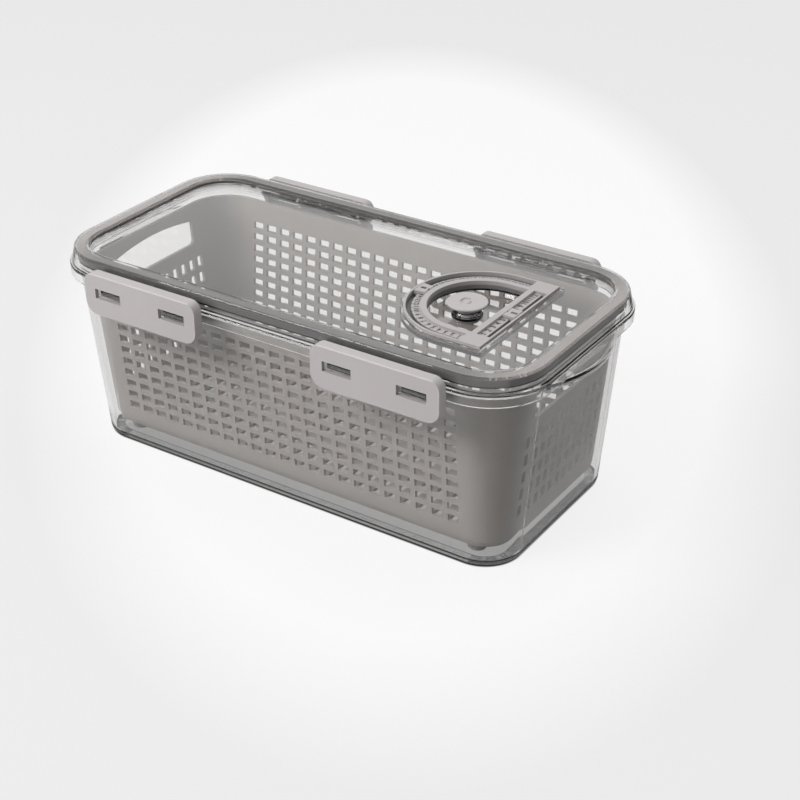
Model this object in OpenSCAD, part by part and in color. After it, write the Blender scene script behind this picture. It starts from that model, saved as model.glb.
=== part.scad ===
// Fridge storage box: a clear container and lid round a perforated drain basket,
// with four flip clips, a date dial and a press vent. Origin: middle of the base, on the table.

/* [Box] */
// Length of the box over its handle lips
box_l = 320; // [290:1:420]
// Width of the box over its clips
box_w = 170; // [160:1:220]
// Height of the box with its lid on
box_h = 120; // [100:1:160]

/* [Container] */
// Corner radius of the container at the table
base_r = 22; // [20:0.5:26]
// Outward lean of every upright wall, as a share of its rise
draft_share = 0.085; // [0.05:0.005:0.1]
// Thickness of the container's wall
wall_t = 2.2; // [1.8:0.1:2.8]
// Thickness of the container's floor
floor_t = 2.5; // [2:0.1:3.5]
// Rounding of the edge between floor and wall
base_round = 3; // [1:0.5:4]
// Reach of the flange beyond the wall
ledge_w = 4.8; // [4.2:0.1:6]
// Height of the flange's turned-down lip
lip_h = 6.4; // [4:0.1:8]

/* [Handles] */
// Reach of a handle lip beyond the flange
handle_w = 5.3; // [4:0.1:10]
// Plan radius of a handle lip
handle_r = 70; // [60:1:80]
// Thickness of a handle lip
handle_t = 2.6; // [2:0.1:4]

/* [Lid] */
// Thickness of the lid's rim
rim_t = 2; // [1.5:0.1:3]
// Width of the rim's top
rim_w = 9; // [8.4:0.1:9.6]
// Depth of the lid's panel below its rim
panel_drop = 3.2; // [2:0.1:4]
// Thickness of the lid's panel
panel_t = 2; // [1.5:0.1:2.5]
// Height of the seal
seal_h = 4.4; // [3.6:0.1:5]

/* [Basket] */
// Gap between the basket and the container's wall
basket_gap = 3.83; // [2.5:0.01:4.5]
// Depth of the basket's rim below the container's
basket_drop = 5.8; // [5:0.1:12]
// Height of the basket's underside above the table
basket_lift = 9; // [7:0.1:11]
// Thickness of the basket's wall
basket_t = 2; // [1.6:0.1:2.4]
// Long side of a wall hole
hole_long = 7; // [5:0.1:7.6]
// Short side of a wall hole
hole_short = 4.4; // [3:0.1:5]
// Spacing of the side holes along the length
side_pitch_x = 10; // [9:0.1:11]
// Spacing of the side holes up the wall
side_pitch_z = 7.5; // [6.5:0.1:7.6]
// Spacing of the end slots across the width
end_pitch_y = 7.7; // [6.5:0.1:8]
// Spacing of the end slots up the wall
end_pitch_z = 10.7; // [9:0.1:11]

/* [Clips] */
// Width of a clip
clip_w = 78; // [70:1:84]
// Height of a clip
clip_h = 24.5; // [22:0.5:28]
// Distance from the flange to a clip's front face
clip_out = 7.5; // [7:0.1:9]
// Distance from a corner's centre to a clip's centre, along the length
clip_in = 41.5; // [41:0.5:46]
// Thickness of a clip's plate
clip_t = 2.4; // [2:0.1:2.8]

/* [Dial] */
// Radius of the dial's arc
dial_r = 41.8; // [38:0.1:43]
// Reach of the dial's straight side beyond the arc's centre
dial_reach = 23.8; // [20:0.1:26]
// Width of the dial's ring
ring_w = 12.4; // [12:0.1:14]
// Width of a slider along its track
slider_w = 9.4; // [6:0.1:12]

/* [Vent] */
// Radius of the vent knob's cap
knob_r = 11.3; // [9:0.1:13]
// Distance the vent knob presses down
knob_travel = 2; // [1:0.1:2.4]

/* [Hidden] */
$fn = 96;
// Overrun of every cut past the face that it opens
over = 1;
// Gap between faces that meet but must not touch
fit_gap = 0.3;
// Small rounding of moulded edges
edge_r = 0.8;

// Container: ledge that the lid's skirt stands over, and the lip turned down from it
container_h = box_h - rim_t - seal_h - fit_gap;
land_h = 2.3;
ledge_z = container_h - land_h;
ledge_t = 2;
lip_t = 1.6;
lip_z = ledge_z - lip_h;
flange_r = wall_r(ledge_z) + ledge_w;
// Distances from the middle to a corner's centre, along the length and across the width
corner_x = box_l / 2 - flange_r - handle_w;
corner_y = box_w / 2 - flange_r - clip_out;
foot_w = 6;
foot_h = 0.8;
floor_round = 2;

// Handle lips: an arc in plan, with a fillet each side where it meets the end wall
handle_rise = 0.8;
handle_z = lip_z + handle_rise - handle_t;
handle_x = box_l / 2 - handle_r;
handle_fillet = 12;
handle_bite = 0.3;
handle_wall_x = corner_x + wall_r(handle_z) - handle_bite;
handle_root_x = handle_wall_x - wall_t / 2;
fillet_x = handle_wall_x + handle_fillet;
fillet_y = sqrt(pow(handle_r + handle_fillet, 2) - pow(fillet_x - handle_x, 2));
bead_w = 1.8;
bead_h = 1.2;

// Lid: rim, skirt, plug wall and the seal between them
seal_z = container_h + fit_gap;
seal_top = seal_z + seal_h;
lid_z = seal_top + rim_t;
skirt_z = ledge_z + fit_gap;
skirt_step = 1;
skirt_lean = 1.9;
skirt_t = 1.8;
skirt_r = flange_r - skirt_step;
rim_r = skirt_r - skirt_lean;
rim_in_r = rim_r - rim_w;
plug_t = 1.9;
plug_r = rim_in_r + plug_t;
plug_z = ledge_z;
panel_z = lid_z - panel_drop;
rim_round = 1.4;
seal_in_r = plug_r + fit_gap;
seal_out_r = skirt_in_r(seal_top) - fit_gap;
seal_groove = 1.2;

// Basket: rows and columns of holes fill the straight part of each wall
basket_h = container_h - basket_drop;
basket_round = 1.5;
step_h = 3;
step_in = 0.8;
basket_floor_t = 2.2;
foot_r = 5;
foot_in_x = 1;
foot_in_y = 6;
side_in = 5;
side_top = 14;
side_z = 23.9;
side_cols = 2 * floor((corner_x - side_in) / side_pitch_x) + 1;
side_rows = floor((basket_h - side_top - side_z) / side_pitch_z) + 1;
grip_drop = 25;
grip_in = 5.8;
grip_z = basket_h - grip_drop;
grip_h = 18.5;
grip_w = 2 * (corner_y - grip_in);
end_in = 2.5;
end_z = 27;
end_top = 12;
end_cols = 2 * floor((corner_y - end_in) / end_pitch_y) + 1;
end_rows = floor((grip_z - end_top - end_z) / end_pitch_z) + 1;
drain_rows = 3;
drain_in = 9.3;
drain_pitch_y = corner_y - drain_in;
drain_share = 0.75;
drain_l = drain_share * drain_pitch_y;
grip_arch = 4;
grip_round = 3;

// Clips, and the rods and lugs that they hook on
clip_x = corner_x - clip_in;
clip_y = box_w / 2;
clip_drop = 1.7;
clip_z = lid_z - clip_drop - clip_h;
clip_depth = 6.2;
clip_back_y = clip_y - clip_depth;
barrel_r = 1.9;
barrel_drop = 0.5;
barrel_in = 1;
rod_r = 1;
rod_gap = 0.1;
rod_y = clip_back_y - fit_gap;
rod_z = clip_z + clip_h - barrel_drop - barrel_r;
clip_top_r = 6;
clip_low_r = 8;
barrel_l = clip_w - 2 * (clip_top_r + barrel_in);
rod_l = barrel_l + barrel_in;
clip_end_t = 2;
clip_bevel = 0.6;
slot_w = 18;
slot_h = 5.8;
slot_share = 0.29;
slot_x = slot_share * clip_w;
slot_z = 10.2;
lug_w = 15;
lug_h = 4;
lug_gap = 0.4;
lug_ramp = 1.5;
web_w = 2.6;
web_t = 1.6;
web_slope = 0.6;
web_share = 0.32;
web_x = web_share * clip_w;
notch_w = web_w + 2 * fit_gap;
notch_in = 0.25;
mouth_w = 1.5;
mouth_turn = 30;

// Dial: tray in the lid, ring in the tray, and the two tracks in the ring
dial_in = 29.5;
dial_x = corner_x - dial_in;
dial_rise = 1.4;
dial_z = panel_z + dial_rise;
tray_t = 1.6;
tray_drop = 4.7;
tray_z = dial_z - tray_drop;
pocket_drop = 8.5;
pocket_z = dial_z - pocket_drop;
dial_rim_w = 1.2;
scale_w = 7.8;
scale_drop = 1.4;
track_w = 3.1;
track_drop = 3.4;
arc_run = 10.4;
month_run = 60;
slider_rise = 0.3;
pointer_w = 3;

// Vent: knob, sleeve and valve on one axis, through a hole in the pocket's floor
vent_in = 9;
vent_x = dial_x - vent_in;
knob_drop = 0.2;
knob_top_z = dial_z - knob_drop;
cap_t = 1.6;
cap_round = 0.7;
dimple_r = 3.1;
dimple_d = 0.8;
nub_r = 2.1;
nub_share = 0.75;
nub_drop = 0.2;
neck_r = 5.5;
neck_z = pocket_z + knob_travel + 2 * fit_gap;
stem_r = 2.6;
sleeve_r = 8.6;
sleeve_h = 3.2;
sleeve_rib = 0.5;
valve_r = 7;
valve_t = 1.4;
valve_top = pocket_z - tray_t - fit_gap;
air_hole_r = 0.8;
air_hole_ring = 4.4;

// Outer corner radius of the container at height z
function wall_r(z) = base_r + draft_share * z;
// Outer corner radius of the basket at height z
function basket_r(z) = wall_r(z) - wall_t - basket_gap;
// Outer and inner corner radius of the lid's skirt at height z
function skirt_out_r(z) = skirt_r - skirt_lean * (z - skirt_z) / (lid_z - skirt_z);
function skirt_in_r(z) = skirt_out_r(z) - skirt_t;
// Points of an arc round c, of radius r, from angle a to angle b
function arc(c, r, a, b, n = 6) =
  [for (i = [0:n]) c + r * [cos(a + (b - a) * i / n), sin(a + (b - a) * i / n)]];

// Section of a wall, swept round the rounded rectangle that every shell shares.
// The section's x is measured outwards from the corners' centres.
module around() {
  for (side = [0, 180]) rotate(side) {
    translate([corner_x, corner_y, 0]) rotate_extrude(angle = 90) children();
    translate([-corner_x, corner_y, 0]) rotate(90) rotate_extrude(angle = 90) children();
    translate([0, corner_y, 0]) rotate([90, 0, 90])
      linear_extrude(2 * corner_x, center = true) children();
    translate([corner_x, 0, 0]) rotate([90, 0, 0])
      linear_extrude(2 * corner_y, center = true) children();
  }
}

// Slab between the corners' centres, from height z to height z + t
module core(z, t) {
  translate([-corner_x, -corner_y, z]) cube([2 * corner_x, 2 * corner_y, t]);
}

// Rectangle with four true round corners, centred on x, standing on y = 0
module rounded(w, h, low_r, top_r) {
  for (side = [-1, 1]) {
    translate([side * (w / 2 - low_r), low_r]) circle(low_r);
    translate([side * (w / 2 - top_r), h - top_r]) circle(top_r);
  }
  translate([-w / 2, low_r]) square([w, h - low_r - top_r]);
  translate([low_r - w / 2, 0]) square([w - 2 * low_r, low_r]);
  translate([top_r - w / 2, h - top_r]) square([w - 2 * top_r, top_r]);
}

// Container
module container_section() {
  lean = atan(draft_share);
  round_x = wall_r(base_round) - base_round / cos(lean);
  in_x = wall_r(floor_t + floor_round) - wall_t - floor_round;
  polygon(concat(
    [[0, foot_h], [round_x - foot_w, foot_h], [round_x - foot_w, 0]],
    arc([round_x, base_round], base_round, -90, -lean),
    [
      [wall_r(ledge_z - ledge_t), ledge_z - ledge_t],
      [flange_r - lip_t, ledge_z - ledge_t],
      [flange_r - lip_t, lip_z],
      [flange_r, lip_z]
    ],
    arc([flange_r - edge_r, ledge_z - edge_r], edge_r, 0, 90, 3),
    [
      [wall_r(ledge_z), ledge_z],
      [wall_r(container_h), container_h],
      [wall_r(container_h) - wall_t, container_h]
    ],
    arc([in_x, floor_t + floor_round], floor_round, 0, -90, 4),
    [[0, floor_t]]
  ));
}

module handle_plan() {
  root_y = fillet_y * (handle_root_x - handle_x) / (fillet_x - handle_x);
  intersection() {
    translate([handle_x, 0]) circle(handle_r);
    translate([handle_root_x, -handle_r]) square(2 * handle_r);
  }
  for (side = [-1, 1]) difference() {
    polygon([[handle_root_x, side * root_y], [handle_root_x, side * fillet_y], [fillet_x, side * fillet_y]]);
    translate([fillet_x, side * fillet_y]) circle(handle_fillet);
  }
}

module handle_lip() {
  sweep = atan2(fillet_y, fillet_x - handle_x);
  translate([0, 0, handle_z]) linear_extrude(handle_t) handle_plan();
  translate([handle_x, 0, handle_z - bead_h]) rotate(-sweep) rotate_extrude(angle = 2 * sweep)
    translate([handle_r - bead_w, 0]) square([bead_w, bead_h + handle_t / 2]);
}

// Lug on the flange that a clip's slot hooks over
module lug() {
  root_y = corner_y + flange_r - lip_t / 2;
  tip_y = clip_y - clip_t - lug_gap;
  low_z = clip_z + slot_z + (slot_h - lug_h) / 2;
  translate([-lug_w / 2, 0, 0]) rotate([90, 0, 90]) linear_extrude(lug_w) polygon([
    [root_y, low_z],
    [tip_y, low_z],
    [tip_y, low_z + lug_h - lug_ramp],
    [tip_y - lug_ramp, low_z + lug_h],
    [root_y, low_z + lug_h]
  ]);
}

module container() {
  color("lightgray", 0.4) {
    around() container_section();
    core(foot_h, floor_t - foot_h);
    for (turn = [0, 180]) rotate(turn) {
      handle_lip();
      for (clip = [-clip_x, clip_x], slot = [-slot_x, slot_x]) translate([clip + slot, 0, 0]) lug();
    }
  }
}

// Basket
module basket_section() {
  low_x = basket_r(basket_lift) - step_in - basket_round;
  step_z = basket_lift + step_h;
  floor_z = basket_lift + basket_floor_t;
  in_x = basket_r(floor_z + floor_round) - basket_t - floor_round;
  polygon(concat(
    [[0, basket_lift]],
    arc([low_x, basket_lift + basket_round], basket_round, -90, 0, 4),
    [
      [basket_r(step_z) - step_in, step_z],
      [basket_r(step_z + step_in), step_z + step_in],
      [basket_r(basket_h), basket_h],
      [basket_r(basket_h) - basket_t, basket_h]
    ],
    arc([in_x, floor_z + floor_round], floor_round, 0, -90, 4),
    [[0, floor_z]]
  ));
}

// Outline of the finger opening in each end: flat below, arched above
module grip_plan() {
  arch_r = (pow(grip_w / 2, 2) + pow(grip_arch, 2)) / (2 * grip_arch);
  translate([0, grip_z]) intersection() {
    rounded(grip_w, grip_h + grip_round, grip_round, grip_round);
    translate([0, grip_h - arch_r]) circle(arch_r, $fn = 360);
  }
}

module basket_holes() {
  long_y = corner_y + basket_r(basket_h) + over;
  long_x = corner_x + basket_r(basket_h) + over;
  for (row = [0:side_rows - 1], col = [0:side_cols - 1])
    translate([(col - (side_cols - 1) / 2) * side_pitch_x, 0, side_z + row * side_pitch_z])
      cube([hole_long, 2 * long_y, hole_short], center = true);
  for (row = [0:end_rows - 1], col = [0:end_cols - 1])
    translate([0, (col - (end_cols - 1) / 2) * end_pitch_y, end_z + row * end_pitch_z])
      cube([2 * long_x, hole_short, hole_long], center = true);
  rotate([90, 0, 90]) linear_extrude(2 * long_x, center = true) grip_plan();
}

module drain_slots() {
  for (row = [0:drain_rows - 1], col = [0:side_cols - 1])
    translate([
      (col - (side_cols - 1) / 2) * side_pitch_x,
      (row - (drain_rows - 1) / 2) * drain_pitch_y,
      basket_lift
    ])
      cube([hole_short, drain_l, 4 * basket_floor_t], center = true);
}

module basket() {
  color("gray") {
    difference() {
      union() {
        around() basket_section();
        core(basket_lift, basket_floor_t);
      }
      basket_holes();
      drain_slots();
    }
    for (x = [-1, 1], y = [-1, 1])
      translate([x * (corner_x - foot_in_x), y * (corner_y + foot_in_y), floor_t + fit_gap])
        cylinder(r = foot_r, h = basket_lift - floor_t);
  }
}

// Lid
module lid_section() {
  polygon(concat(
    [
      [0, panel_z - panel_t],
      [rim_in_r, panel_z - panel_t],
      [rim_in_r, plug_z],
      [plug_r, plug_z],
      [plug_r, seal_top],
      [skirt_in_r(seal_top), seal_top],
      [skirt_in_r(skirt_z), skirt_z],
      [skirt_r, skirt_z]
    ],
    arc([rim_r - rim_round, lid_z - rim_round], rim_round, 0, 90, 5),
    arc([rim_in_r + edge_r, lid_z - edge_r], edge_r, 90, 180, 3),
    [[rim_in_r, panel_z], [0, panel_z]]
  ));
}

// Plan of the dial, drawn in from its outline by inset
module dial_plan(inset = 0) {
  r = dial_r - inset;
  translate([dial_x, 0]) {
    intersection() {
      circle(r);
      translate([-r, -r]) square([r, 2 * r]);
    }
    translate([0, -r]) square([dial_reach - inset, 2 * r]);
  }
}

// Rod and webs that carry one front clip, at x = 0
module clip_rod() {
  translate([0, -rod_y, rod_z]) rotate([0, 90, 0]) cylinder(r = rod_r, h = rod_l, center = true);
  web_l = rod_y - corner_y - skirt_in_r(rod_z) - skirt_t / 2;
  for (side = [-1:1])
    translate([side * web_x - web_w / 2, -rod_y, rod_z]) rotate([90, 0, 90]) linear_extrude(web_w)
      polygon([[0, 0], [web_l, -web_slope * web_l], [web_l, -web_slope * web_l - web_t], [0, -web_t]]);
}

module lid() {
  color("lightgray", 0.4) {
    difference() {
      union() {
        around() lid_section();
        core(panel_z - panel_t, panel_t);
        translate([0, 0, tray_z - tray_t])
          linear_extrude(panel_z - tray_z + tray_t) dial_plan(-fit_gap - tray_t);
        translate([0, 0, pocket_z - tray_t])
          linear_extrude(tray_z - pocket_z + tray_t / 2) dial_plan(ring_w - tray_t);
      }
      translate([0, 0, tray_z]) linear_extrude(tray_drop + over) dial_plan(-fit_gap);
      translate([0, 0, pocket_z]) linear_extrude(pocket_drop + over) dial_plan(ring_w);
      translate([vent_x, 0, pocket_z - tray_t - over]) {
        cylinder(r = stem_r + fit_gap, h = tray_t + 2 * over);
        for (turn = [0:120:240]) rotate(turn) translate([air_hole_ring, 0, 0])
          cylinder(r = air_hole_r, h = tray_t + 2 * over);
      }
    }
    for (turn = [0, 180], x = [-clip_x, clip_x]) rotate(turn) translate([x, 0, 0]) clip_rod();
  }
}

module lid_seal() {
  mid_r = (seal_in_r + seal_out_r) / 2;
  color("dimgray") around() polygon([
    [seal_in_r, seal_top],
    [seal_in_r, seal_z + seal_groove / 2],
    [seal_in_r + seal_groove / 2, seal_z],
    [mid_r - seal_groove / 2, seal_z],
    [mid_r, seal_z + seal_groove],
    [mid_r + seal_groove / 2, seal_z],
    [seal_out_r - seal_groove / 2, seal_z],
    [seal_out_r, seal_z + seal_groove / 2],
    [seal_out_r, seal_top]
  ]);
}

// One clip, facing -y, at x = 0
module clip() {
  difference() {
    union() {
      difference() {
        translate([0, -clip_back_y, clip_z]) rotate([90, 0, 0])
          linear_extrude(clip_depth) rounded(clip_w, clip_h, clip_low_r, clip_top_r);
        translate([0, -clip_back_y + over, clip_z - over]) rotate([90, 0, 0])
          linear_extrude(clip_depth - clip_t + over)
            rounded(clip_w - 2 * clip_end_t, clip_h - clip_end_t + over, clip_low_r, clip_top_r - clip_end_t);
      }
      translate([0, -rod_y, rod_z]) rotate([0, 90, 0])
        cylinder(r = barrel_r, h = barrel_l, center = true);
    }
    translate([0, -rod_y, rod_z]) rotate([0, 90, 0])
      cylinder(r = rod_r + rod_gap, h = rod_l + 2 * fit_gap, center = true);
    translate([0, -rod_y, rod_z]) rotate([mouth_turn, 0, 0])
      translate([0, 0, -barrel_r]) cube([clip_w - 2 * clip_end_t, mouth_w, 2 * barrel_r], center = true);
    for (side = [-1:1])
      translate([side * web_x - notch_w / 2, -rod_y - notch_in, rod_z - 2 * barrel_r])
        cube([notch_w, 2 * barrel_r, 4 * barrel_r]);
    for (side = [-1, 1])
      translate([side * slot_x - slot_w / 2, -clip_y - over, clip_z + slot_z])
        cube([slot_w, clip_t + 2 * over, slot_h]);
    translate([0, -clip_y, clip_z + clip_h]) rotate([45, 0, 0])
      cube([clip_w + over, clip_bevel * sqrt(2), clip_bevel * sqrt(2)], center = true);
  }
}

module front_clip(x) {
  color("silver") translate([x, 0, 0]) clip();
}

module rear_clip(x) {
  color("silver") rotate(180) translate([-x, 0, 0]) clip();
}

module front_left_clip() { front_clip(-clip_x); }
module front_right_clip() { front_clip(clip_x); }
module rear_left_clip() { rear_clip(-clip_x); }
module rear_right_clip() { rear_clip(clip_x); }

// Dial
module arc_band(outer, inner) {
  intersection() {
    difference() {
      dial_plan(outer);
      dial_plan(inner);
    }
    translate([dial_x - dial_r, -dial_r]) square([dial_r + arc_run, 2 * dial_r]);
  }
}

module straight_band(w) {
  translate([dial_x + dial_reach - dial_rim_w - w, -month_run / 2]) square([w, month_run]);
}

module dial_frame() {
  color("silver") difference() {
    translate([0, 0, tray_z]) linear_extrude(tray_drop) difference() {
      dial_plan();
      dial_plan(ring_w);
    }
    translate([0, 0, dial_z - scale_drop]) linear_extrude(scale_drop + over) {
      arc_band(dial_rim_w, dial_rim_w + scale_w);
      straight_band(scale_w);
    }
    translate([0, 0, dial_z - track_drop]) linear_extrude(track_drop + over) {
      arc_band(dial_rim_w, dial_rim_w + track_w);
      straight_band(track_w);
    }
  }
}

// Section of a slider: x is the distance in from the rim's inner face, y the height over the track's floor
module slider_section() {
  foot_x = track_w - fit_gap;
  step_y = track_drop - scale_drop + fit_gap;
  top_y = track_drop + slider_rise;
  polygon([
    [fit_gap, fit_gap],
    [foot_x, fit_gap],
    [foot_x, step_y],
    [scale_w - fit_gap, step_y],
    [scale_w - fit_gap, top_y - slider_rise],
    [scale_w - fit_gap - slider_rise, top_y],
    [fit_gap + slider_rise, top_y],
    [fit_gap, top_y - slider_rise]
  ]);
}

module date_slider() {
  track_r = dial_r - dial_rim_w;
  sweep = 180 / PI * slider_w / (track_r - scale_w / 2);
  color("silver") translate([dial_x, 0, dial_z - track_drop]) difference() {
    rotate(180 - sweep / 2) rotate_extrude(angle = sweep) translate([track_r, 0]) mirror([1, 0]) slider_section();
    translate([-track_r + scale_w, 0, track_drop - scale_drop]) rotate(45)
      cube([pointer_w / sqrt(2), pointer_w / sqrt(2), 4 * track_drop], center = true);
  }
}

module month_slider() {
  track_x = dial_x + dial_reach - dial_rim_w;
  color("silver") translate([track_x, 0, dial_z - track_drop]) difference() {
    rotate([90, 0, 0]) linear_extrude(slider_w, center = true) mirror([1, 0]) slider_section();
    translate([-scale_w, 0, track_drop - scale_drop]) rotate(45)
      cube([pointer_w / sqrt(2), pointer_w / sqrt(2), 4 * track_drop], center = true);
  }
}

// Vent
module vent_knob() {
  color("silver") translate([vent_x, 0, 0]) rotate_extrude() polygon(concat(
    [[0, valve_top - valve_t], [stem_r, valve_top - valve_t], [stem_r, neck_z], [neck_r, neck_z]],
    [[neck_r, knob_top_z - cap_t]],
    arc([knob_r - cap_round, knob_top_z - cap_t + cap_round], cap_round, -90, 0, 4),
    arc([knob_r - cap_round, knob_top_z - cap_round], cap_round, 0, 90, 4),
    arc([dimple_r, knob_top_z], dimple_d, 0, -90, 4),
    [[nub_r, knob_top_z - dimple_d], [nub_share * nub_r, knob_top_z - nub_drop], [0, knob_top_z - nub_drop]]
  ));
}

module vent_sleeve() {
  in_r = neck_r + fit_gap;
  rib_h = sleeve_h / 4;
  color("dimgray") translate([vent_x, 0, pocket_z]) rotate_extrude() polygon([
    [in_r, 0],
    [sleeve_r, 0],
    [sleeve_r, rib_h],
    [sleeve_r - sleeve_rib, 1.5 * rib_h],
    [sleeve_r - sleeve_rib, 2 * rib_h],
    [sleeve_r - 2 * sleeve_rib, 2 * rib_h],
    [sleeve_r - 2 * sleeve_rib, 3 * rib_h],
    [sleeve_r - 3 * sleeve_rib, 4 * rib_h],
    [in_r, 4 * rib_h]
  ]);
}

module vent_valve() {
  color("dimgray") translate([vent_x, 0, valve_top - valve_t]) difference() {
    cylinder(r = valve_r, h = valve_t);
    translate([0, 0, -over]) cylinder(r = stem_r, h = valve_t + 2 * over);
  }
}

container();
basket();
lid();
lid_seal();
front_left_clip();
front_right_clip();
rear_left_clip();
rear_right_clip();
dial_frame();
date_slider();
month_slider();
vent_knob();
vent_sleeve();
vent_valve();
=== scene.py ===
"""Looks of the fridge storage box: clear smoky shells, a satin grey basket, flip clips and a date dial."""

from math import cos, pi, radians, sin

import bmesh
import bpy
from mathutils import Matrix, Vector


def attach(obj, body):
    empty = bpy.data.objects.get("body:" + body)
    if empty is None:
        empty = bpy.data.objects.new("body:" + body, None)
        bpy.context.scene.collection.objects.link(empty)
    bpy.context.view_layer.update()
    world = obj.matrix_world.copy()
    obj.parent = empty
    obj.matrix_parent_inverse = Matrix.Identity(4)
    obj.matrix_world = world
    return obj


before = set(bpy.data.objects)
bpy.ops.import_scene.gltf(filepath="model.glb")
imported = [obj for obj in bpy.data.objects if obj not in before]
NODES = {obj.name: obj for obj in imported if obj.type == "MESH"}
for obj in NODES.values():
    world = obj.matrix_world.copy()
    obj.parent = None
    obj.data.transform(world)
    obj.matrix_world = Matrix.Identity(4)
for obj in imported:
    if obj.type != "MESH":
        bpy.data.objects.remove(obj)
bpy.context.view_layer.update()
SCENE = bpy.context.scene
MM = 0.001


# Node tools


def new_material(name):
    """A material with one Principled shader on its output, and its tree and shader."""
    material = bpy.data.materials.new(name)
    material.use_nodes = True
    tree = material.node_tree
    return material, tree, tree.nodes["Principled BSDF"]


def add(tree, kind, **values):
    """A node of this kind. Values that name an input set it, and the rest set the node's own settings."""
    node = tree.nodes.new(kind)
    for key, value in values.items():
        if hasattr(node, key):
            setattr(node, key, value)
        else:
            node.inputs[key.replace("_", " ")].default_value = value
    return node


def feed(tree, value, target):
    """Links the target to the value's socket, or sets it to the value."""
    if isinstance(value, bpy.types.NodeSocket):
        tree.links.new(value, target)
    else:
        target.default_value = value


def spread(tree, value, start, end, low=0.0, high=1.0):
    """Low to high as the value goes from start to end, and level past both."""
    node = add(tree, "ShaderNodeMapRange", From_Min=start, From_Max=end)
    feed(tree, value, node.inputs["Value"])
    feed(tree, low, node.inputs["To Min"])
    feed(tree, high, node.inputs["To Max"])
    return node.outputs["Result"]


def maths(tree, operation, first, second):
    """A sum, product or the like of two values."""
    node = add(tree, "ShaderNodeMath", operation=operation)
    feed(tree, first, node.inputs[0])
    feed(tree, second, node.inputs[1])
    return node.outputs["Value"]


def vectors(tree, operation, first, second=None):
    """The same for vectors, as a node, because a length comes from another output than a vector."""
    node = add(tree, "ShaderNodeVectorMath", operation=operation)
    feed(tree, first, node.inputs[0])
    if second:
        feed(tree, second, node.inputs[1])
    return node


def own_place(tree):
    """The piece's own coordinates."""
    return add(tree, "ShaderNodeTexCoord").outputs["Object"]


def along(tree, place, axis):
    """One coordinate of a place."""
    parts = add(tree, "ShaderNodeSeparateXYZ")
    feed(tree, place, parts.inputs["Vector"])
    return parts.outputs[axis]


def shaded(tree, colour, zones):
    """The colour, scaled in each zone as painted shade, or as painted light where the share is over one: its
    axis, where it starts and is full, and its share of the colour.
    """
    for axis, start, end, share in zones:
        size = vectors(tree, "ABSOLUTE", own_place(tree)).outputs["Vector"]
        scaled = vectors(tree, "SCALE", colour)
        feed(tree, spread(tree, along(tree, size, axis), start, end, 1.0, share), scaled.inputs["Scale"])
        colour = scaled.outputs["Vector"]
    return colour


# Moulded grain, shared by all finishes


def group_input(group, name, low, value, high):
    socket = group.interface.new_socket(name, in_out="INPUT", socket_type="NodeSocketFloat")
    socket.min_value, socket.default_value, socket.max_value = low, value, high


def make_moulded_grain():
    """Shared group: the faint orange peel, flow streaks and handling scuffs of moulded plastic."""
    group = bpy.data.node_groups.new("moulded_grain", "ShaderNodeTree")
    group_input(group, "Grain Scale", 10.0, 900.0, 5000.0)
    group_input(group, "Grain Height", 0.0, 0.15, 1.0)
    group_input(group, "Scuff Scale", 5.0, 60.0, 500.0)
    for name in ("Streaks", "Scuffs"):
        group.interface.new_socket(name, in_out="OUTPUT", socket_type="NodeSocketFloat")
    group.interface.new_socket("Normal", in_out="OUTPUT", socket_type="NodeSocketVector")
    inward = group.nodes.new("NodeGroupInput")
    outward = group.nodes.new("NodeGroupOutput")
    place = own_place(group)

    peel = add(group, "ShaderNodeTexNoise", Detail=3.0, Roughness=0.55)
    feed(group, place, peel.inputs["Vector"])
    feed(group, inward.outputs["Grain Scale"], peel.inputs["Scale"])
    bump = add(group, "ShaderNodeBump", Distance=0.4 * MM)
    feed(group, peel.outputs["Fac"], bump.inputs["Height"])
    feed(group, inward.outputs["Grain Height"], bump.inputs["Strength"])
    feed(group, bump.outputs["Normal"], outward.inputs["Normal"])

    stretch = add(group, "ShaderNodeMapping", Scale=(1.0, 1.0, 0.25))
    feed(group, place, stretch.inputs["Vector"])
    flow = add(group, "ShaderNodeTexNoise", Detail=4.0, Distortion=0.4, Scale=18.0)
    feed(group, stretch.outputs["Vector"], flow.inputs["Vector"])
    feed(group, spread(group, flow.outputs["Fac"], 0.3, 0.7), outward.inputs["Streaks"])

    scuff = add(group, "ShaderNodeTexNoise", Detail=8.0, Roughness=0.7, Distortion=1.2)
    feed(group, place, scuff.inputs["Vector"])
    feed(group, inward.outputs["Scuff Scale"], scuff.inputs["Scale"])
    feed(group, spread(group, scuff.outputs["Fac"], 0.52, 0.75), outward.inputs["Scuffs"])
    return group


GRAIN = make_moulded_grain()


def place_grain(tree, scale, height, scuff=60.0):
    node = add(tree, "ShaderNodeGroup", node_tree=GRAIN)
    node.inputs["Grain Scale"].default_value = scale
    node.inputs["Grain Height"].default_value = height
    node.inputs["Scuff Scale"].default_value = scuff
    return node


# Finishes


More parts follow.
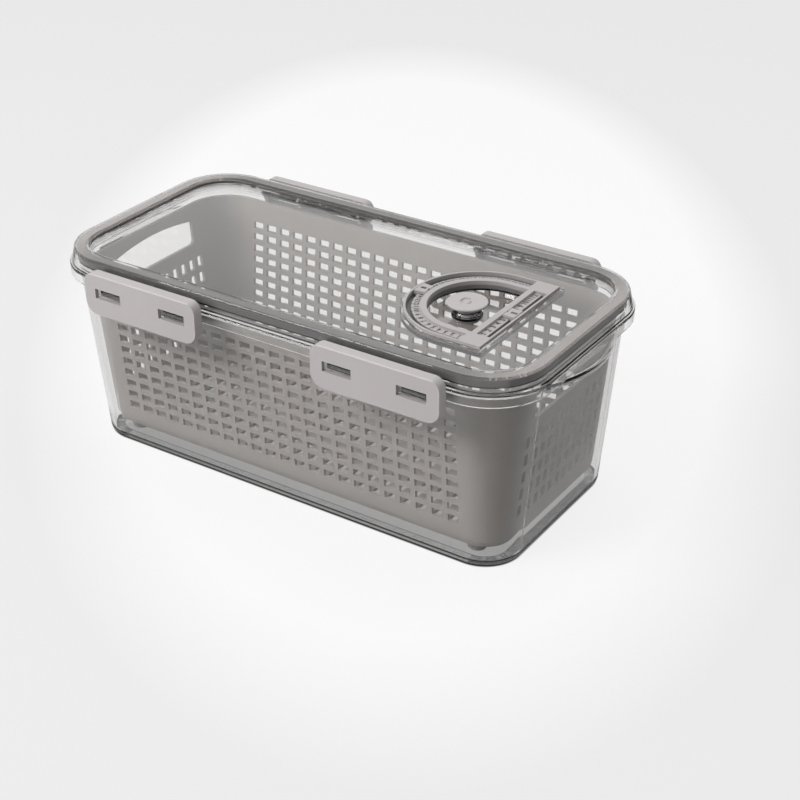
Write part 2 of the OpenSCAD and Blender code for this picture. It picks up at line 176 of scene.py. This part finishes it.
def satin_plastic(name, colour, roughness, height=0.15, zones=()):
    """Opaque moulded plastic: its colour drifts with the flow, scuffs dull it a little, and its zones paint
    shade and light on it.
    """
    material, tree, shader = new_material(name)
    marks = place_grain(tree, 900.0, height)
    tint = add(tree, "ShaderNodeMix", data_type="RGBA", blend_type="MIX")
    colours = {s.name: s for s in tint.inputs if s.type == "RGBA"}
    colours["A"].default_value = (*[c * 0.96 for c in colour], 1.0)
    colours["B"].default_value = (*[c * 1.04 for c in colour], 1.0)
    feed(tree, marks.outputs["Streaks"], tint.inputs["Factor"])
    drifting = next(s for s in tint.outputs if s.type == "RGBA")
    feed(tree, shaded(tree, drifting, zones), shader.inputs["Base Color"])
    dull = spread(tree, marks.outputs["Scuffs"], 0.0, 1.0, roughness, roughness + 0.12)
    feed(tree, dull, shader.inputs["Roughness"])
    feed(tree, marks.outputs["Normal"], shader.inputs["Normal"])
    shader.inputs["IOR"].default_value = 1.5
    return material


def clear_plastic(name, density, gloss, tint=(0.97, 0.968, 0.966), smoke=(0.5, 0.48, 0.47), zones=()):
    """Clear moulded plastic that lets lamps through, so that what it holds is lit. Its smoke deepens with its
    thickness, and its tint is darkened in the zones as painted shade."""
    material, tree, shader = new_material(name)
    output = tree.nodes["Material Output"]
    marks = place_grain(tree, 140.0, 0.012, 40.0)
    feed(tree, shaded(tree, tint, zones) if zones else (*tint, 1.0), shader.inputs["Base Color"])
    shader.inputs["Transmission Weight"].default_value = 1.0
    shader.inputs["IOR"].default_value = 1.49
    shader.inputs["Specular IOR Level"].default_value = gloss
    feed(tree, spread(tree, marks.outputs["Scuffs"], 0.0, 1.0, 0.0, 0.02), shader.inputs["Roughness"])
    feed(tree, marks.outputs["Normal"], shader.inputs["Normal"])
    path = add(tree, "ShaderNodeLightPath")
    through = add(tree, "ShaderNodeBsdfTransparent", Color=(0.93, 0.93, 0.93, 1.0))
    mix = add(tree, "ShaderNodeMixShader")
    feed(tree, path.outputs["Is Shadow Ray"], mix.inputs["Fac"])
    feed(tree, shader.outputs["BSDF"], mix.inputs[1])
    feed(tree, through.outputs["BSDF"], mix.inputs[2])
    feed(tree, mix.outputs["Shader"], output.inputs["Surface"])
    depth = add(tree, "ShaderNodeVolumeAbsorption", Color=(*smoke, 1.0), Density=density)
    feed(tree, depth.outputs["Volume"], output.inputs["Volume"])
    return material


SCALE_Z = 116.8 * MM
FLANGE_EDGE_Y = 77.5 * MM
CLIP_BACK_Y = 78.8 * MM
FOOT_EDGE_Z = 0.7 * MM
SEAL_TOP_Z = max(v.co.z for v in NODES["lid_seal"].data.vertices)

# Painted shade: the box's lugs are tinted dark where the clip slots are in shade.
LUG_PAINTED_SHADE = ("Y", FLANGE_EDGE_Y, FLANGE_EDGE_Y + 0.5 * MM, 0.08)
# Painted shade: the box's foot is tinted dark, for the dark line along its bottom edge.
FOOT_PAINTED_SHADE = ("Z", FOOT_EDGE_Z, FOOT_EDGE_Z - 0.3 * MM, 0.06)
# Painted shadow: the clips' backs and barrels are darkened where the hinge gap is in shadow.
CLIP_BACK_PAINTED_SHADE = ("Y", CLIP_BACK_Y, CLIP_BACK_Y - 0.6 * MM, 0.15)
# Painted shade: the dial is darkened below its scale, in the tracks' grooves.
TRACK_PAINTED_SHADE = ("Z", SCALE_Z - 0.4 * MM, SCALE_Z - 1.4 * MM, 0.4)
# Painted light and shade: the seal's dark colour stands for the shade on its sides, and its top is painted
# lighter where light falls on it.
SEAL_TOP_PAINTED_LIGHT = ("Z", SEAL_TOP_Z - 0.4 * MM, SEAL_TOP_Z - 0.1 * MM, 4.6)
# Painted highlight: the seal is lighter towards the right end, where the rim shows a bright reflection.
SEAL_END_PAINTED_LIGHT = ("X", 122 * MM, 145 * MM, 1.6)
CLIP_GREY = (0.465, 0.438, 0.433)

LID = clear_plastic("clear_smoky_lid_plastic", 60.0, 0.85)
CONTAINER = clear_plastic("clear_smoky_box_plastic", 60.0, 0.35, zones=[LUG_PAINTED_SHADE, FOOT_PAINTED_SHADE])
SLEEVE = clear_plastic("clear_vent_silicone", 15.0, 0.9, (0.97, 0.97, 0.97), (0.5, 0.49, 0.48))
BASKET = satin_plastic("basket_grey_plastic", (0.38, 0.35, 0.331), 0.42)
CLIP = satin_plastic("clip_grey_plastic", CLIP_GREY, 0.45, 0.1, [CLIP_BACK_PAINTED_SHADE])
KNOB = satin_plastic("knob_grey_plastic", CLIP_GREY, 0.4, 0.1)
DIAL = satin_plastic("dial_grey_plastic", (0.43, 0.405, 0.4), 0.4, 0.1, [TRACK_PAINTED_SHADE])
# Painted shade and light: the seal's dark colour is painted shade for its sides, and its zones paint its top
# and its right end lighter.
SEAL = satin_plastic("seal_grey_silicone", (0.1, 0.096, 0.094), 0.6, zones=[SEAL_TOP_PAINTED_LIGHT, SEAL_END_PAINTED_LIGHT])
VALVE = satin_plastic("vent_grey_silicone", (0.3, 0.295, 0.29), 0.5)
INK = satin_plastic("dial_dark_ink", (0.02, 0.019, 0.019), 0.5)

FINISHES = {
    "container": CONTAINER,
    "lid": LID,
    "basket": BASKET,
    "lid_seal": SEAL,
    "dial_frame": DIAL,
    "date_slider": DIAL,
    "month_slider": DIAL,
    "vent_knob": KNOB,
    "vent_sleeve": SLEEVE,
    "vent_valve": VALVE,
}
for node_name, cad in NODES.items():
    cad.data.materials.clear()
    cad.data.materials.append(FINISHES.get(node_name, CLIP))


# Dial: printed numbers, ticks and marks

DIAL_X = 88.965 * MM
STRAIGHT_END_X = 96.5 * MM
NUMBER_R, TICK_R = 34.8 * MM, 37.1 * MM
MONTH_X, MONTH_RUN = 105.8 * MM, 26.2 * MM
DATES, MONTHS = 31, 12
DATE_H, MONTH_H = 2.7 * MM, 3.1 * MM
INK_T = 0.08 * MM
FONT_CAP_SHARE, FONT_BOLD_SHARE = 0.69, 0.03


def mesh_object(name, mesh, material, body):
    """A finished piece at the origin that rides on a body."""
    piece = bpy.data.objects.new(name, mesh)
    SCENE.collection.objects.link(piece)
    mesh.materials.clear()
    mesh.materials.append(material)
    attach(piece, body)
    return piece


def number_mesh(number, height):
    """Plain digits in the XY plane, centred on the origin, tops towards +Y."""
    words = bpy.data.curves.new("digits", "FONT")
    words.body = str(number)
    words.align_x, words.align_y = "CENTER", "CENTER"
    words.size = height / FONT_CAP_SHARE
    words.extrude, words.offset = INK_T, height * FONT_BOLD_SHARE
    words.resolution_u = 3
    holder = bpy.data.objects.new("digits", words)
    SCENE.collection.objects.link(holder)
    bpy.context.view_layer.update()
    ready = holder.evaluated_get(bpy.context.evaluated_depsgraph_get())
    mesh = bpy.data.meshes.new_from_object(ready)
    bpy.data.objects.remove(holder)
    bpy.data.curves.remove(words)
    return mesh


def joined(name, meshes):
    """One mesh of them all."""
    body = bmesh.new()
    for mesh in meshes:
        body.from_mesh(mesh)
        bpy.data.meshes.remove(mesh)
    whole = bpy.data.meshes.new(name)
    body.to_mesh(whole)
    body.free()
    return whole


def scale_length(radius):
    """Length of the scale: the front straight, the arc and the rear straight."""
    return 2 * (STRAIGHT_END_X - DIAL_X) + pi * radius


def on_scale(distance, radius):
    """Place and outward angle at this distance along the scale."""
    straight = STRAIGHT_END_X - DIAL_X
    arc = pi * radius
    if distance < straight:
        return (STRAIGHT_END_X - distance, -radius), -pi / 2
    if distance > straight + arc:
        return (DIAL_X + distance - straight - arc, radius), pi / 2
    angle = -pi / 2 - (distance - straight) / radius
    return (DIAL_X + radius * cos(angle), radius * sin(angle)), angle


def make_date_numbers():
    """1 to 31 round the arc, tops outwards."""
    meshes = []
    for day in range(DATES):
        (x, y), angle = on_scale(scale_length(NUMBER_R) * day / (DATES - 1), NUMBER_R)
        mesh = number_mesh(day + 1, DATE_H)
        mesh.transform(Matrix.Translation((x, y, SCALE_Z)) @ Matrix.Rotation(angle - pi / 2, 4, "Z"))
        meshes.append(mesh)
    mesh_object("date_numbers", joined("date_numbers", meshes), INK, "lid")


def make_month_numbers():
    """1 to 12 along the straight side, tops towards the arc."""
    meshes = []
    for month in range(MONTHS):
        y = MONTH_RUN * (2 * month / (MONTHS - 1) - 1)
        mesh = number_mesh(month + 1, MONTH_H)
        mesh.transform(Matrix.Translation((MONTH_X, y, SCALE_Z)) @ Matrix.Rotation(pi / 2, 4, "Z"))
        meshes.append(mesh)
    mesh_object("month_numbers", joined("month_numbers", meshes), INK, "lid")


# Repeated pieces: a block at even steps along a path


def make_row_along_path():
    """Geometry Nodes tree: blocks at even steps along the object's edges, each turned with the path."""
    tree = bpy.data.node_groups.new("row_along_path", "GeometryNodeTree")
    tree.is_modifier = True
    tree.interface.new_socket("Geometry", in_out="INPUT", socket_type="NodeSocketGeometry")
    count = tree.interface.new_socket("Count", in_out="INPUT", socket_type="NodeSocketInt")
    count.default_value, count.min_value, count.max_value = DATES, 2, 400
    size = tree.interface.new_socket("Block Size", in_out="INPUT", socket_type="NodeSocketVector")
    size.default_value = (0.3 * MM, 0.8 * MM, 0.1 * MM)
    paint = tree.interface.new_socket("Material", in_out="INPUT", socket_type="NodeSocketMaterial")
    tree.interface.new_socket("Geometry", in_out="OUTPUT", socket_type="NodeSocketGeometry")
    inward, outward = tree.nodes.new("NodeGroupInput"), tree.nodes.new("NodeGroupOutput")
    link = tree.links.new

    path = tree.nodes.new("GeometryNodeMeshToCurve")
    link(inward.outputs["Geometry"], path.inputs["Mesh"])
    steps = tree.nodes.new("GeometryNodeCurveToPoints")
    steps.mode = "COUNT"
    link(path.outputs["Curve"], steps.inputs["Curve"])
    link(inward.outputs["Count"], steps.inputs["Count"])
    block = tree.nodes.new("GeometryNodeMeshCube")
    link(inward.outputs["Block Size"], block.inputs["Size"])
    rows = tree.nodes.new("GeometryNodeInstanceOnPoints")
    link(steps.outputs["Points"], rows.inputs["Points"])
    link(block.outputs["Mesh"], rows.inputs["Instance"])
    turn = tree.nodes.new("FunctionNodeAlignRotationToVector")
    turn.axis, turn.pivot_axis = "X", "Z"
    link(steps.outputs["Tangent"], turn.inputs["Vector"])
    link(turn.outputs["Rotation"], rows.inputs["Rotation"])
    real = tree.nodes.new("GeometryNodeRealizeInstances")
    link(rows.outputs["Instances"], real.inputs["Geometry"])
    finish = tree.nodes.new("GeometryNodeSetMaterial")
    link(real.outputs["Geometry"], finish.inputs["Geometry"])
    link(inward.outputs["Material"], finish.inputs["Material"])
    link(finish.outputs["Geometry"], outward.inputs["Geometry"])
    return tree, {"Count": count.identifier, "Block Size": size.identifier, "Material": paint.identifier}


ROW, ROW_INPUTS = make_row_along_path()


def row_along(name, points, closed, count, block, material, body):
    """Blocks at even steps along a path through the points, as one piece that rides on a body."""
    path = bpy.data.meshes.new(name + "_path")
    edges = [(i, i + 1) for i in range(len(points) - 1)]
    path.from_pydata(points, edges + ([(len(points) - 1, 0)] if closed else []), [])
    holder = bpy.data.objects.new(name + "_path", path)
    SCENE.collection.objects.link(holder)
    row = holder.modifiers.new("row", "NODES")
    row.node_group = ROW
    row[ROW_INPUTS["Count"]] = count
    row[ROW_INPUTS["Block Size"]] = block
    row[ROW_INPUTS["Material"]] = material
    bpy.context.view_layer.update()
    ready = holder.evaluated_get(bpy.context.evaluated_depsgraph_get())
    mesh = bpy.data.meshes.new_from_object(ready)
    holder.modifiers.remove(row)
    bpy.data.objects.remove(holder)
    return mesh_object(name, mesh, material, body)


PATH_STEPS = 240
TICK_BLOCK = (0.3 * MM, 0.9 * MM, 2 * INK_T)


def make_ticks():
    """A tick outside each date."""
    places = [on_scale(scale_length(TICK_R) * i / PATH_STEPS, TICK_R)[0] for i in range(PATH_STEPS + 1)]
    row_along("date_ticks", [(x, y, SCALE_Z) for x, y in places], False, DATES, TICK_BLOCK, INK, "lid")


KNOB_X, KNOB_NECK_R = 79.965 * MM, 5.5 * MM
RIB_LOW_Z, RIB_TOP_Z = 113.0 * MM, 115.2 * MM
RIB_W, RIB_OUT, RIBS, RING_STEPS = 0.9 * MM, 0.5 * MM, 16, 96


def make_knob_ribs():
    """Grip ribs round the knob's neck."""
    turns = [2 * pi * i / RING_STEPS for i in range(RING_STEPS)]
    middle = (RIB_LOW_Z + RIB_TOP_Z) / 2
    ring = [(KNOB_X + KNOB_NECK_R * cos(turn), KNOB_NECK_R * sin(turn), middle) for turn in turns]
    row_along("knob_ribs", ring, True, RIBS, (RIB_W, RIB_OUT, RIB_TOP_Z - RIB_LOW_Z), KNOB, "vent_knob")


MARK_BLOCK = (0.9 * MM, 1.8 * MM, 2 * INK_T)
MARK_Z = 118.5 * MM
DATE_MARK_X, DATE_MARK_RUN = DIAL_X - 36.7 * MM, 1.1 * MM
MONTH_MARK_X, MONTH_MARK_RUN = 108.6 * MM, 1.3 * MM


def make_slider_marks():
    """A dark mark on each slider's tile."""
    marks = (
        ("date_mark", DATE_MARK_X, DATE_MARK_RUN, "date_slider"),
        ("month_mark", MONTH_MARK_X, MONTH_MARK_RUN, "month_slider"),
    )
    for name, x, run, body in marks:
        row_along(name, [(x - run, 0.0, MARK_Z), (x + run, 0.0, MARK_Z)], False, 3, MARK_BLOCK, INK, body)


make_date_numbers()
make_month_numbers()
make_ticks()
make_knob_ribs()
make_slider_marks()


# Stage, lights and camera


def seen_by_eye(tree, path):
    """1 for what the camera sees, also in gloss and clear plastic, and 0 for light on matt surfaces."""
    seen = path.outputs["Is Camera Ray"]
    for name in ("Is Glossy Ray", "Is Transmission Ray"):
        seen = maths(tree, "MAXIMUM", seen, path.outputs[name])
    direct = maths(tree, "LESS_THAN", path.outputs["Diffuse Depth"], 0.5)
    return maths(tree, "MULTIPLY", seen, direct)


CAMERA_YAW, CAMERA_PITCH, CAMERA_ROLL = radians(33.56), radians(29.626), radians(-0.186)
FLOOR_SIZE = 12.0
# The floor's glow is a painted pool of light, brightest round the box and fading with distance.
GLOW_CENTRE, GLOW_REACH = (-0.099, 0.221, 0.0), (0.261, 0.533, 1.0)
GLOW_NEAR, GLOW_FAR, GLOW_UNDER, GLOW_FOOT = 0.823, 0.698, 0.52, 0.02
FOOT_CORNER = (0.118, 0.041, 0.0)
# Painted shadow on the floor: the glow drops to GLOW_UNDER under the box and to GLOW_FOOT at its foot, between
# these radii.
FOOT_IN_R, FOOT_OUT_R = (18.5 * MM, 19.5 * MM), (21.2 * MM, 22.4 * MM)
# Painted shade in reflections: the box mirrors the floor darker past its right end and close to its foot.
DARK_END_X, DARK_NEAR_L, DARK_SHARE = (100 * MM, 170 * MM), (35 * MM, 20 * MM), 0.9
MATT_SHARE = 0.14


def far_share(tree, place):
    """Distance from the middle of the pale patch, as a share of its reach, which is longest to the back."""
    patch = add(tree, "ShaderNodeMapping", vector_type="TEXTURE")
    patch.inputs["Location"].default_value = GLOW_CENTRE
    patch.inputs["Rotation"].default_value = (0.0, 0.0, CAMERA_YAW)
    patch.inputs["Scale"].default_value = GLOW_REACH
    feed(tree, place, patch.inputs["Vector"])
    return vectors(tree, "LENGTH", patch.outputs["Vector"]).outputs["Value"]


def foot_distance(tree, place):
    """Distance from the rectangle through the middles of the foot's corners."""
    size = vectors(tree, "ABSOLUTE", place).outputs["Vector"]
    past = vectors(tree, "SUBTRACT", size, FOOT_CORNER).outputs["Vector"]
    outside = vectors(tree, "MAXIMUM", past, (0.0, 0.0, 0.0)).outputs["Vector"]
    return vectors(tree, "LENGTH", outside).outputs["Value"]


def make_floor():
    """Pale floor. Its glow keeps it pale where it's seen and fades far from the box, a painted pool of light,
    and goes out under the foot, a painted shadow under the box. The box mirrors it less past the right end and
    close to the foot, as painted shade in its reflections."""
    bpy.ops.mesh.primitive_plane_add(size=FLOOR_SIZE, location=(0, 0, 0))
    floor = bpy.context.active_object
    floor.name = "floor"
    material, tree, shader = new_material("pale_floor")
    shader.inputs["Base Color"].default_value = (0.6, 0.6, 0.6, 1.0)
    shader.inputs["Roughness"].default_value = 1.0
    shader.inputs["Specular IOR Level"].default_value = 0.0
    place = own_place(tree)
    path = add(tree, "ShaderNodeLightPath")

    # Painted pool of light round the box.
    open_glow = spread(tree, far_share(tree, place), 0.79, 1.0, GLOW_NEAR, GLOW_FAR)
    distance = foot_distance(tree, place)
    # Painted shadow under the box, darkest at the foot.
    shadow_under_box = spread(tree, distance, *FOOT_IN_R, GLOW_UNDER, GLOW_FOOT)
    share = spread(tree, distance, *FOOT_OUT_R, shadow_under_box, 1.0)
    # Painted shade in the box's reflections of the floor.
    past_end = spread(tree, along(tree, place, "X"), *DARK_END_X, 0.0, DARK_SHARE)
    near_foot = spread(tree, path.outputs["Ray Length"], *DARK_NEAR_L, 0.0, DARK_SHARE)
    darker = maths(tree, "MAXIMUM", past_end, near_foot)
    mirrored = maths(tree, "MULTIPLY", darker, path.outputs["Is Reflection Ray"])
    lit = maths(tree, "MULTIPLY", open_glow, share)
    glow = add(tree, "ShaderNodeEmission", Color=(1, 1, 1, 1))
    unmirrored = maths(tree, "SUBTRACT", 1.0, mirrored)
    feed(tree, maths(tree, "MULTIPLY", lit, unmirrored), glow.inputs["Strength"])

    shadow = add(tree, "ShaderNodeBsdfDiffuse")
    feed(tree, maths(tree, "MULTIPLY", share, MATT_SHARE), shadow.inputs["Color"])
    seen_floor = add(tree, "ShaderNodeAddShader")
    feed(tree, shadow.outputs["BSDF"], seen_floor.inputs[0])
    feed(tree, glow.outputs["Emission"], seen_floor.inputs[1])
    mix = add(tree, "ShaderNodeMixShader")
    feed(tree, seen_by_eye(tree, path), mix.inputs["Fac"])
    feed(tree, shader.outputs["BSDF"], mix.inputs[1])
    feed(tree, seen_floor.outputs["Shader"], mix.inputs[2])
    feed(tree, mix.outputs["Shader"], tree.nodes["Material Output"].inputs["Surface"])
    floor.data.materials.append(material)


ROOM_LIGHT, ROOM_SHARE_INSIDE = 0.43, 0.3


def make_world():
    """Soft room light, weaker inside the clear shells, and a pale backdrop for camera and clear plastic. It's
    the same from all sides, and still fed by direction, because Cycles samples only a world that varies."""
    world = bpy.data.worlds.new("studio")
    SCENE.world = world
    world.use_nodes = True
    tree = world.node_tree
    lamp = tree.nodes["Background"]
    lamp.inputs["Color"].default_value = (1, 1, 1, 1)
    path = add(tree, "ShaderNodeLightPath")
    side = along(tree, add(tree, "ShaderNodeTexCoord").outputs["Generated"], "X")
    all_round = spread(tree, side, -1.0, 1.0, ROOM_LIGHT, ROOM_LIGHT)
    inside = spread(tree, path.outputs["Is Transmission Ray"], 0.0, 1.0, 1.0, ROOM_SHARE_INSIDE)
    feed(tree, maths(tree, "MULTIPLY", all_round, inside), lamp.inputs["Strength"])
    backdrop = add(tree, "ShaderNodeBackground", Color=(1, 1, 1, 1), Strength=1.0)
    mix = add(tree, "ShaderNodeMixShader")
    feed(tree, seen_by_eye(tree, path), mix.inputs["Fac"])
    feed(tree, lamp.outputs["Background"], mix.inputs[1])
    feed(tree, backdrop.outputs["Background"], mix.inputs[2])
    feed(tree, mix.outputs["Shader"], tree.nodes["World Output"].inputs["Surface"])


KEY_PLACE, KEY_AIM, KEY_SIZE, KEY_WATTS = (-0.75, -1.1, 1.1), (0.0, 0.0, 0.05), (0.9, 0.7), 19.0
TOP_PLACE, TOP_AIM, TOP_SIZE, TOP_WATTS = (0.0, 0.5, 1.4), (0.0, 0.0, 0.1), (1.4, 0.8), 6.0


def make_lamp(name, place, aim, size, power):
    """Softbox at a place, turned to its aim. It lights matt surfaces and isn't seen through clear plastic."""
    data = bpy.data.lights.new(name, "AREA")
    data.shape = "RECTANGLE"
    data.size, data.size_y = size
    data.energy = power
    lamp = bpy.data.objects.new(name, data)
    SCENE.collection.objects.link(lamp)
    lamp.location = place
    lamp.rotation_euler = (Vector(aim) - Vector(place)).to_track_quat("-Z", "Y").to_euler()
    lamp.visible_transmission = False


CAMERA_PLACE = (0.490388, -0.683909, 0.510622)


def make_camera():
    """The photograph's camera: fitted so that the box's edges fall where they do there."""
    data = bpy.data.cameras.new("camera")
    data.sensor_width = 36.0
    data.lens = 75.06
    data.clip_start, data.clip_end = 0.01, 50.0
    camera = bpy.data.objects.new("camera", data)
    SCENE.collection.objects.link(camera)
    yaw, pitch = Matrix.Rotation(CAMERA_YAW, 4, "Z"), Matrix.Rotation(pi / 2 - CAMERA_PITCH, 4, "X")
    camera.matrix_world = Matrix.Translation(CAMERA_PLACE) @ yaw @ pitch @ Matrix.Rotation(CAMERA_ROLL, 4, "Z")
    SCENE.camera = camera


make_floor()
make_world()
make_lamp("key_softbox", KEY_PLACE, KEY_AIM, KEY_SIZE, KEY_WATTS)
make_lamp("top_softbox", TOP_PLACE, TOP_AIM, TOP_SIZE, TOP_WATTS)
make_camera()
SCENE.view_settings.view_transform = "Standard"
